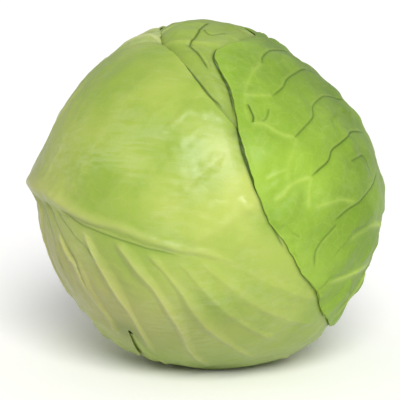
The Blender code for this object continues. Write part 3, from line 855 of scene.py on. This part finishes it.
def stump_radius(along, about):
    """The stump's radius in millimetres at a share `along` from its root to its cut end: a waist,
    a flared root, crescent leaf scars and fine length-wise ridges."""
    radius = STUMP_RADIUS - 0.5 * np.sin(math.pi * along)
    radius += (STUMP_ROOT - STUMP_RADIUS) * (1 - smoothstep(along, 0.28, 0.85))
    draw = np.random.default_rng(71)
    for scar in range(SCARS):
        turn = scar * SCAR_TURN + draw.uniform(-14, 14)
        level = 0.30 + 0.11 * scar % 0.5
        off = (about - turn + 180) % 360 - 180
        arch = level + 0.22 * (off / 38) ** 2
        ledge = smoothstep(along, arch - 0.12, arch) * (1 - smoothstep(along, arch, arch + 0.05))
        radius += SCAR_RISE * ledge * (1 - smoothstep(np.abs(off), 26, 44))
    angle = np.radians(about)
    radius += 0.22 * np.sin(5 * angle + 0.6) + 0.14 * np.sin(9 * angle + 2.1)
    radius += 0.06 * np.sin(47 * angle) + 0.05 * np.sin(31 * angle + 9 * along)
    return radius


def make_stem():
    """The cut stump, a closed surface of rings about X: up its side from the root, over a worn
    edge, and in across the cut face, which is slightly stepped where the knife turned."""
    about = np.arange(STUMP_STEPS) * 360 / STUMP_STEPS
    rings, heights = [], []
    length = (STUMP_END - STUMP_SEAT) / MM
    for along in np.linspace(0, 1, SIDE_RINGS):
        radius = stump_radius(np.full(STUMP_STEPS, along), about)
        rounded = 1.1 * max(0.0, (along - 0.9) / 0.1) ** 2
        rings.append(radius - rounded)
        heights.append(np.full(STUMP_STEPS, along * length))
    edge = rings[-1]
    angle = np.radians(about)
    for share in np.linspace(0, 1, FACE_RINGS + 2)[1:-1]:
        out = 1 - share
        x, y = edge * out * np.cos(angle), edge * out * np.sin(angle)
        knife = -0.5 * smoothstep(x * 0.8 + y * 0.6, 3.5, 4.6) + 0.02 * x
        fibres = 0.05 * np.sin(x * 2.7 + 1.3 * np.sin(y * 1.1))
        ring_ridge = 0.22 * bell(edge * out - WOODY_RING, 0.8) - 0.35 * bell(edge * out, 4.5)
        rings.append(edge * out)
        heights.append(length + (knife + fibres + ring_ridge) * (1 - bell(share, 0.05)))
    radius, height = np.array(rings) * MM, np.array(heights) * MM
    y, z = -radius * np.cos(angle), radius * np.sin(angle) + CENTRE_HEIGHT
    points = np.stack([-STUMP_SEAT - height, y, z], -1).reshape(-1, 3)
    root = (-STUMP_SEAT, 0, CENTRE_HEIGHT)
    crown = (-STUMP_SEAT - float(height[-1].mean()), 0, CENTRE_HEIGHT)
    points = np.vstack([points, root, crown])
    faces = grid_faces(len(rings), STUMP_STEPS).tolist()
    ring = range(STUMP_STEPS)
    last = (len(rings) - 1) * STUMP_STEPS
    faces += [[(k + 1) % STUMP_STEPS, k, len(points) - 2] for k in ring]
    faces += [[last + k, last + (k + 1) % STUMP_STEPS, len(points) - 1] for k in ring]
    on_face = np.zeros(radius.shape)
    on_face[SIDE_RINGS:] = 1
    attributes = dict(
        cut_face=np.append(on_face.ravel(), [0, 1])[:, None],
        from_axis=np.append((radius / MM).ravel(), [0, 0])[:, None],
    )
    return make_piece("stem", points, faces, attributes)


# Materials
COLOURS = ("Green", "Yellow", "Pale", "Vein and highlight", "Deep green and shade")


def linear(red, green, blue):
    """A colour given in the 0 to 255 steps of a screen, as linear values."""
    steps = np.array((red, green, blue)) / 255
    return (*np.where(steps > 0.04045, ((steps + 0.055) / 1.055) ** 2.4, steps / 12.92), 1.0)


class Wiring:
    """Adds nodes to a tree and links them: each input is a value or another node's socket."""

    def __init__(self, tree):
        self.tree = tree

    def add(self, kind, inputs=None, **settings):
        node = self.tree.nodes.new("ShaderNode" + kind)
        for key, value in settings.items():
            setattr(node, key, value)
        for key, value in (inputs or {}).items():
            socket = node.inputs[key]
            if isinstance(value, bpy.types.NodeSocket):
                self.tree.links.new(value, socket)
            else:
                socket.default_value = value
        return node

    def maths(self, operation, a, b=0.0, clamp=False):
        return self.add("Math", {0: a, 1: b}, operation=operation, use_clamp=clamp).outputs[0]

    def plus(self, a, b, clamp=False):
        return self.maths("ADD", a, b, clamp)

    def minus(self, a, b):
        return self.maths("SUBTRACT", a, b)

    def times(self, a, b, clamp=False):
        return self.maths("MULTIPLY", a, b, clamp)

    def vectors(self, operation, inputs):
        return self.add("VectorMath", inputs, operation=operation).outputs[0]

    def mixed(self, share, first, second):
        """The first colour turning into the second as the share goes from 0 to 1."""
        return self.add("Mix", {0: share, 6: first, 7: second}, data_type="RGBA").outputs[2]

    def between(self, value, low, high, to_low=0.0, to_high=1.0):
        """The value's place from low to high, as to_low to to_high and held at the ends."""
        ends = {"From Min": low, "From Max": high, "To Min": to_low, "To Max": to_high}
        node = self.add("MapRange", {"Value": value, **ends}, interpolation_type="SMOOTHSTEP")
        return node.outputs["Result"]

    def attribute(self, name, output="Fac"):
        return self.add("Attribute", attribute_name=name).outputs[output]

    def noise(self, where, scale, detail=3.0, roughness=0.5):
        """Fractal noise from about 0 to 1, with `scale` features to the metre."""
        inputs = {"Vector": where, "Scale": scale, "Detail": detail, "Roughness": roughness}
        return self.add("TexNoise", inputs).outputs["Fac"]

    def thin_line(self, gap, half_width):
        """exp(-(gap / half width)^2), the same bell as the geometry's."""
        ratio = self.maths("DIVIDE", gap, half_width)
        return self.maths("EXPONENT", self.times(self.times(ratio, ratio), -1.0))

    def into_shader(self, shader, colour, roughness, height):
        """Links a material's colour, roughness and relief, in millimetres, to its shader."""
        bump = self.add("Bump", {"Height": height, "Strength": 1.0, "Distance": MM}).outputs[0]
        for socket, key in ((colour, "Base Color"), (roughness, "Roughness"), (bump, "Normal")):
            self.tree.links.new(socket, shader.inputs[key])

    def cell_lines(self, where, scale, half_width):
        """A net of lines between cells, 1 on a line and 0 past its half width in cells."""
        node = self.add("TexVoronoi", {"Vector": where, "Scale": scale}, feature="DISTANCE_TO_EDGE")
        return self.between(node.outputs["Distance"], 0.0, half_width, 1.0, 0.0)


def new_group(name, inputs, outputs):
    """An empty node group with named sockets, and the sockets inside it."""
    tree = bpy.data.node_groups.new(name, "ShaderNodeTree")
    for key, kind in inputs.items():
        tree.interface.new_socket(key, in_out="INPUT", socket_type="NodeSocket" + kind)
    for key, kind in outputs.items():
        tree.interface.new_socket(key, in_out="OUTPUT", socket_type="NodeSocket" + kind)
    wires = Wiring(tree)
    entry = tree.nodes.new("NodeGroupInput").outputs
    leaving = tree.nodes.new("NodeGroupOutput").inputs
    return tree, wires, entry, leaving


def waxy_bloom():
    """The dull whitish wax on a cabbage leaf: patches, and short rubbed strokes through them."""
    tree, wires, _, leaving = new_group("waxy bloom", {}, {"Mask": "Float"})
    where = wires.add("TexCoord").outputs["Object"]
    patches = wires.between(wires.noise(where, 34, 4), 0.40, 0.72)
    turn, scale = (0.4, 0.2, 0.9), (60, 420, 420)
    stretched = wires.add("Mapping", {"Vector": where, "Rotation": turn, "Scale": scale})
    strokes = wires.between(wires.noise(stretched.outputs[0], 1.0, 2), 0.36, 0.62)
    wires.tree.links.new(wires.times(patches, strokes), leaving["Mask"])
    return tree


def leaf_flesh():
    """A leaf's colour, roughness and fine relief in millimetres. Green mottled with yellow-green
    turns pale towards the leaf's base, veins are paler, creases get painted shade with a painted
    highlight along each lip, and a net of small veins covers it. The attributes on each leaf say
    where its ribs and creases run."""
    inputs = {**dict.fromkeys(COLOURS, "Color"), **dict.fromkeys(("Net", "Wax", "Gloss"), "Float")}
    outputs = {"Colour": "Color", "Roughness": "Float", "Height": "Float"}
    tree, wires, entry, leaving = new_group("leaf flesh", inputs, outputs)
    where = wires.add("TexCoord").outputs["Object"]
    swirl = wires.add("TexNoise", {"Vector": where, "Scale": 70.0, "Detail": 2.0}).outputs["Color"]
    swirl = wires.vectors("SUBTRACT", {0: swirl, 1: (0.5, 0.5, 0.5)})
    bent = wires.vectors("ADD", {0: where, 1: wires.vectors("SCALE", {0: swirl, "Scale": 0.007})})
    net = wires.cell_lines(bent, 125, 0.040)
    fine_net = wires.cell_lines(bent, 420, 0.075)
    mottle = wires.between(wires.noise(where, 30, 4), 0.34, 0.68)
    fine = wires.noise(where, 240, 4)

    washes = wires.add("SeparateXYZ", {0: wires.attribute("washes", "Vector")}).outputs
    yellow = wires.plus(wires.times(mottle, 0.55), washes["X"], clamp=True)
    colour = wires.mixed(yellow, entry["Green"], entry["Yellow"])
    freckle = wires.times(wires.minus(fine, 0.5), 0.22)
    colour = wires.mixed(wires.plus(washes["Y"], freckle, clamp=True), colour, entry["Pale"])
    # Deep green patches, in places painted shade: beside outer leaves' margins, under a lifted lip
    # and on back_leaf's far side
    deep_green_and_shade = wires.times(washes["Z"], wires.between(mottle, 0.0, 1.0, 0.9, 0.6))
    colour = wires.mixed(deep_green_and_shade, colour, entry["Deep green and shade"])
    nets = wires.plus(wires.times(net, 0.13), wires.times(fine_net, 0.07))
    vein, gap, tint = (wires.attribute(name) for name in ("vein", "line_gap", "line_tint"))
    ridge = wires.times(wires.thin_line(gap, 0.75), wires.maths("MAXIMUM", tint, 0.0))
    dark = wires.maths("MAXIMUM", wires.times(tint, -1.0), 0.0)
    # Painted light along the line tints: crease and shade paint shade into and beside creases and
    # margin lines, and lit_edge paints a highlight along a crease's lip
    crease = wires.times(wires.thin_line(gap, 0.48), dark)
    lit_edge = wires.times(wires.thin_line(wires.minus(gap, 1.2), 0.6), dark)
    shade = wires.times(wires.thin_line(gap, 1.5), dark)
    for share, amount, key in (
        (nets, entry["Net"], "Vein and highlight"), (vein, 0.75, "Vein and highlight"), (ridge, 0.6, "Vein and highlight"),
        (lit_edge, 0.5, "Vein and highlight"), (shade, 0.30, "Deep green and shade"), (crease, 1.35, "Deep green and shade"),
    ):
        colour = wires.mixed(wires.times(share, amount, clamp=True), colour, entry[key])
    bloom = wires.add("Group", node_tree=bpy.data.node_groups["waxy bloom"]).outputs["Mask"]
    wax = wires.times(bloom, entry["Wax"])
    colour = wires.mixed(wax, colour, (0.80, 0.86, 0.72, 1))
    wires.tree.links.new(colour, leaving["Colour"])

    rough = wires.plus(entry["Gloss"], wires.times(fine, 0.14))
    rough = wires.plus(rough, wires.times(wax, 0.8))
    rough = wires.plus(rough, wires.times(crease, 0.4))
    wires.tree.links.new(rough, leaving["Roughness"])

    grain = wires.attribute("grain", "Vector")
    fibres = wires.noise(wires.vectors("MULTIPLY", {0: grain, 1: (0.05, 1.15, 0)}), 1.0, 3)
    height = wires.times(fibres, wires.times(vein, 0.22))
    for part, amount in ((nets, 0.16), (fine, 0.05), (crease, -0.35), (ridge, 0.12)):
        height = wires.plus(height, wires.times(part, amount))
    wires.tree.links.new(height, leaving["Height"])
    return tree


def set_inputs(shader, values):
    """Plain values on a shader's own sockets."""
    for key, value in values.items():
        shader.inputs[key].default_value = value


def shader_of(name):
    """A new material, its Principled shader and the wiring of its tree."""
    material = bpy.data.materials.new(name)
    material.use_nodes = True
    return material, material.node_tree.nodes["Principled BSDF"], Wiring(material.node_tree)


def leaf_material(name, *colours, net=1.0, wax=0.12, gloss=0.38, coat=0.08, shine=0.35):
    """A leaf's own colours, in the order of COLOURS, on the shared flesh, with a little light
    through it and a thin wax coat."""
    material, shader, wires = shader_of(name)
    inputs = {key: linear(*steps) for key, steps in zip(COLOURS, colours)}
    inputs.update({"Net": net, "Wax": wax, "Gloss": gloss})
    flesh = wires.add("Group", inputs, node_tree=bpy.data.node_groups["leaf flesh"]).outputs
    wires.into_shader(shader, flesh["Colour"], flesh["Roughness"], flesh["Height"])
    set_inputs(shader, {
        "Subsurface Weight": 0.14, "Subsurface Radius": (0.7, 1.0, 0.2),
        "Subsurface Scale": 2.5 * MM, "Coat Weight": coat, "Specular IOR Level": shine,
        "Coat Roughness": 0.32, "IOR": 1.42,
    })
    return material


def stump_material():
    """Cut stalk: cream flesh with a woody ring and paler pith on the face, a browned edge, and a
    pale green side with dry brown flecks."""
    material, shader, wires = shader_of("cut stalk")
    where = wires.add("TexCoord").outputs["Object"]
    out, on_face = wires.attribute("from_axis"), wires.attribute("cut_face")
    cloud, fine = wires.noise(where, 120, 4), wires.noise(where, 900, 4)
    wander = wires.times(wires.minus(wires.noise(where, 260, 2), 0.5), 2.2)
    out = wires.plus(out, wander)
    cream, straw = linear(226, 220, 178), linear(205, 200, 146)
    face = wires.mixed(wires.between(cloud, 0.35, 0.7), cream, straw)
    woody = wires.thin_line(wires.minus(out, 10.8), 1.0)
    pith = wires.between(out, 3.5, 6.5, 1.0, 0.0)
    dots = wires.add("TexVoronoi", {"Vector": where, "Scale": 620.0})
    dots = wires.between(dots.outputs["Distance"], 0.16, 0.34, 1.0, 0.0)
    browned, patchy = wires.between(out, 12.4, 14.8), wires.between(cloud, 0.30, 0.62, 0.25, 0.85)
    for share, amount, tone in (
        (woody, 0.55, (160, 165, 98)), (pith, 0.5, (238, 234, 205)), (dots, 0.28, (176, 166, 108)),
        (browned, patchy, (158, 128, 78)),
    ):
        face = wires.mixed(wires.times(share, amount), face, linear(*tone))
    side = wires.mixed(wires.between(cloud, 0.3, 0.7), linear(196, 203, 140), linear(172, 186, 108))
    stretched = wires.add("Mapping", {"Vector": where, "Scale": (160, 900, 900)}).outputs[0]
    dry = wires.between(wires.noise(stretched, 1.0, 3), 0.56, 0.70)
    side = wires.mixed(wires.times(dry, 0.55), side, linear(158, 138, 86))
    colour = wires.mixed(on_face, side, face)
    height = wires.plus(wires.times(fine, 0.10), wires.times(dots, -0.06))
    height = wires.plus(height, wires.times(dry, -0.12))
    wires.into_shader(shader, colour, wires.between(fine, 0.3, 0.7, 0.48, 0.72), height)
    set_inputs(shader, {
        "Subsurface Weight": 0.15, "Subsurface Radius": (1.0, 0.8, 0.4),
        "Subsurface Scale": 2.0 * MM,
    })
    return material


def skins():
    """Each piece's material, by node name."""
    waxy_bloom()
    leaf_flesh()
    pale_vein = (200, 202, 146)
    return dict(
        back_leaf=leaf_material(
            "back leaf skin", (116, 148, 42), (142, 174, 58), (164, 180, 92), (168, 190, 86),
            (58, 88, 14), wax=0.03, shine=0.24,
        ),
        front_leaf=leaf_material(
            "front leaf skin", (128, 155, 52), (166, 180, 84), (148, 150, 85), (180, 178, 114),
            (74, 100, 26), net=0.6, wax=0.07, gloss=0.34, coat=0.16, shine=0.38,
        ),
        under_leaf=leaf_material(
            "under leaf skin", (140, 162, 68), (164, 178, 92), (188, 188, 130), pale_vein,
            (96, 112, 44),
        ),
        shoulder_leaf=leaf_material(
            "shoulder leaf skin", (144, 164, 76), (164, 180, 98), (188, 190, 132), pale_vein,
            (98, 116, 50),
        ),
        low_leaf=leaf_material(
            "low leaf skin", (146, 166, 78), (166, 180, 98), (190, 190, 134), pale_vein,
            (98, 116, 50),
        ),
        top_leaf=leaf_material(
            "top leaf skin", (124, 146, 54), (146, 168, 72), (174, 180, 110), (168, 184, 98),
            (62, 86, 22), net=0.6, wax=0.06, shine=0.3,
        ),
        heart=leaf_material(
            "heart skin", (186, 196, 112), (202, 208, 134), (214, 214, 166), (216, 216, 164),
            (140, 150, 80), net=0.6,
        ),
        stem=stump_material(),
    )


# Stage: a pale floor, soft lights and the camera


def make_floor():
    half = FLOOR_HALF
    corners = [(-half, -half, 0), (half, -half, 0), (half, half, 0), (-half, half, 0)]
    mesh = bpy.data.meshes.new("floor")
    mesh.from_pydata(corners, [], [(0, 1, 2, 3)])
    floor = bpy.data.objects.new("floor", mesh)
    bpy.context.scene.collection.objects.link(floor)
    material, shader, _ = shader_of("white table")
    grey = (FLOOR_GREY, FLOOR_GREY, FLOOR_GREY, 1)
    set_inputs(shader, {"Base Color": grey, "Roughness": 0.9, "Specular IOR Level": 0.1})
    mesh.materials.append(material)
    floor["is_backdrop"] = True


def direction_at(azimuth, elevation):
    """The direction from the head at an azimuth from the front and an elevation, in degrees."""
    azimuth, elevation = math.radians(azimuth), math.radians(elevation)
    level = math.cos(elevation)
    return Vector((math.sin(azimuth) * level, -math.cos(azimuth) * level, math.sin(elevation)))


def place_facing(name, data, back, location):
    """A light or camera that looks the opposite way to `back`."""
    thing = bpy.data.objects.new(name, data)
    thing.location = location
    thing.rotation_euler = (-back).to_track_quat("-Z", "Y").to_euler()
    bpy.context.scene.collection.objects.link(thing)
    return thing


def make_lights():
    """One soft sun, SUN_SOFTNESS degrees across, in an even white room."""
    light = bpy.data.lights.new("key", "SUN")
    light.angle, light.energy = math.radians(SUN_SOFTNESS), SUN_STRENGTH
    light.color = SUN_COLOUR
    back = direction_at(SUN_AZIMUTH, SUN_ELEVATION)
    place_facing("key", light, back, back)
    world = bpy.data.worlds.new("soft white room")
    world.use_nodes = True
    values = {"Color": (1, 1, 1, 1), "Strength": ROOM_BRIGHTNESS}
    set_inputs(world.node_tree.nodes["Background"], values)
    bpy.context.scene.world = world


def make_camera():
    back = direction_at(CAMERA_AZIMUTH, CAMERA_ELEVATION)
    azimuth = math.radians(CAMERA_AZIMUTH)
    right = Vector((math.cos(azimuth), math.sin(azimuth), 0))
    aim = Vector((0, 0, CENTRE_HEIGHT)) + right * AIM_SIDEWAYS + back.cross(right) * AIM_UP
    lens = bpy.data.cameras.new("camera")
    lens.lens, lens.sensor_width = LENS, SENSOR
    camera = place_facing("camera", lens, back, aim + back * CAMERA_DISTANCE)
    bpy.context.scene.camera = camera


def main():
    leaves = [Leaf(**sizes) for sizes in LEAVES]
    pieces = {leaf.name: make_leaf(leaf, leaves[:order]) for order, leaf in enumerate(leaves)}
    pieces["heart"] = make_heart(leaves)
    pieces["stem"] = make_stem()
    for name, skin in skins().items():
        pieces[name].data.materials.append(skin)
    make_floor()
    make_lights()
    make_camera()
    bpy.context.scene.view_settings.view_transform = "Standard"


main()
[[list(corner) for corner in box] for box in (PACKED_BOUNDS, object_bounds())]
